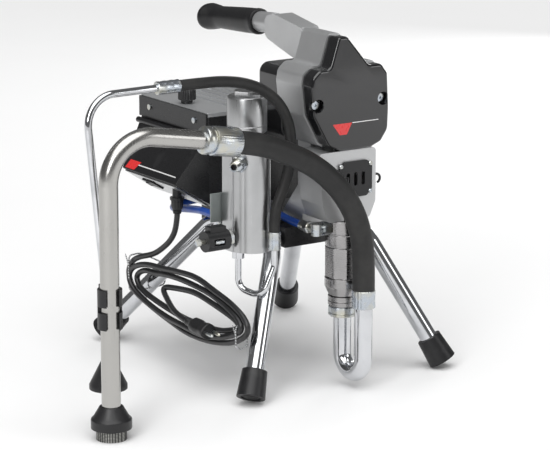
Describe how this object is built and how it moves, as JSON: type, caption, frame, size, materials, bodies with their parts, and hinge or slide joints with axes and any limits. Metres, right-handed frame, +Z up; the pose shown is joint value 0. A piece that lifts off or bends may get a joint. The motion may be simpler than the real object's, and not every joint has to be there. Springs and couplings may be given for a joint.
{
  "type": "airless paint sprayer",
  "caption": "Airless paint sprayer on a four-legged tube stand, with geared piston pump, filter manifold, suction and return tubes, pressure controller and carrying handle.",
  "frame": {"origin": "centre of the four feet, on the floor", "axes": "+Z up; the drive cover faces -Y and the handle runs back along +Y; the filter, suction tube and controller are on the -X side"},
  "size_m": [0.5253, 0.4024, 0.4404],
  "materials": {
    "chrome_tube": "polished",
    "black_rubber": "satin",
    "zinc_steel": "zinc plated",
    "machined_steel": "machined",
    "brass": "machined",
    "mesh_steel": "woven",
    "brushed_steel": "brushed",
    "satin_tube": "satin",
    "cast_aluminium": "cast, painted silver",
    "machined_aluminium": "machined",
    "gloss_black": "gloss",
    "black_paint": "powder coat",
    "grey_paint": "satin",
    "matte_black": "moulded",
    "blue_hose": "smooth",
    "cord_black": "smooth"
  },
  "bodies": {
    "sprayer_frame": {"base_channel": "black_paint", "bearings": "machined_steel", "control_board": "matte_black", "controller_box": "black_paint", "cord_gland": "matte_black", "cord_hank": "cord_black", "cord_plug": "cord_black", "cord_ties": "cord_black", "drain_diffuser": "matte_black", "drain_hose": "black_rubber", "drain_return_tube": "zinc_steel", "drain_tube": "satin_tube", "drive_housing": "cast_aluminium", "end_bracket": "black_paint", "fasteners": "zinc_steel", "filter_cap": "machined_aluminium", "filter_element": "mesh_steel", "foot_valve": "machined_steel", "frame_brackets": "grey_paint", "front_cover": "gloss_black", "handle_arm": "cast_aluminium", "handle_grip": "black_rubber", "heat_sink_lid": "machined_aluminium", "hose_ferrules": "zinc_steel", "left_leg_frame": "chrome_tube", "manifold_body": "machined_aluminium", "motor_cowl": "gloss_black", "motor_end_plates": "cast_aluminium", "motor_stator": "machined_steel", "outlet_nipple": "zinc_steel", "power_cord": "cord_black", "power_switch": "matte_black", "prime_valve": "brass", "pump_cylinder": "brushed_steel", "pump_outlet_elbow": "zinc_steel", "right_leg_frame": "chrome_tube", "rod_cover": "matte_black", "rubber_feet": "black_rubber", "strainer_basket": "mesh_steel", "strainer_flange": "matte_black", "suction_hose": "black_rubber", "suction_tube": "satin_tube", "suction_u_tube": "chrome_tube", "switch_plate": "machined_aluminium", "swivel_nut": "zinc_steel", "throat_packings": "black_rubber", "tube_clip": "matte_black", "whip_hose": "blue_hose"},
    "crank": {"crank_gear": "machined_steel"},
    "idler": {"idler_gear": "machined_steel"},
    "rotor": {"motor_rotor": "machined_steel", "cooling_fan": "matte_black"},
    "con_rod": {"connecting_rod": "machined_steel"},
    "piston": {"pump_rod": "machined_steel", "yoke_pin": "machined_steel"},
    "outlet_check": {"outlet_ball": "machined_steel"},
    "inlet_check": {"inlet_ball": "machined_steel"},
    "pressure_control": {"pressure_knob": "matte_black"},
    "prime_lever": {"prime_valve_handle": "matte_black"},
    "rocker": {"switch_rocker": "matte_black"}
  },
  "joints": [
    {"name": "crank_spin", "type": "hinge", "parent": "sprayer_frame", "child": "crank", "pos_m": [0, -0.16, 0.344], "axis": [0, -1, 0], "continuous": true},
    {"name": "idler_spin", "type": "hinge", "parent": "sprayer_frame", "child": "idler", "pos_m": [0, -0.125, 0.3185], "axis": [0, -1, 0], "continuous": true},
    {"name": "rotor_spin", "type": "hinge", "parent": "sprayer_frame", "child": "rotor", "pos_m": [0, -0.085, 0.344], "axis": [0, -1, 0], "continuous": true},
    {"name": "con_rod_swing", "type": "hinge", "parent": "crank", "child": "con_rod", "pos_m": [0, -0.162, 0.333], "axis": [0, -1, 0], "continuous": true},
    {"name": "pump_stroke", "type": "slide", "parent": "sprayer_frame", "child": "piston", "axis": [0, 0, 1], "range_m": [0, 0.022]},
    {"name": "outlet_ball_lift", "type": "slide", "parent": "piston", "child": "outlet_check", "axis": [0, 0, 1], "range_m": [0, 0.002]},
    {"name": "inlet_ball_lift", "type": "slide", "parent": "sprayer_frame", "child": "inlet_check", "axis": [0, 0, 1], "range_m": [0, 0.003]},
    {"name": "pressure_turn", "type": "hinge", "parent": "sprayer_frame", "child": "pressure_control", "pos_m": [-0.094, 0.039, 0.33], "axis": [0, 0, 1], "range_deg": [0, 270]},
    {"name": "prime_turn", "type": "hinge", "parent": "sprayer_frame", "child": "prime_lever", "pos_m": [-0.14, -0.112, 0.189], "axis": [1, 0, 0], "range_deg": [0, 90]},
    {"name": "rocker_tilt", "type": "hinge", "parent": "sprayer_frame", "child": "rocker", "pos_m": [-0.12981, 0.062, 0.22458], "axis": [0.8423, 0, -0.5391], "range_deg": [0, 16]}
  ],
  "couplings": [
    {"joint": "idler_spin", "follows": "crank_spin", "ratio": -3.8571},
    {"joint": "rotor_spin", "follows": "crank_spin", "ratio": 18},
    {"joint": "con_rod_swing", "follows": "crank_spin", "ratio": -1}
  ]
}
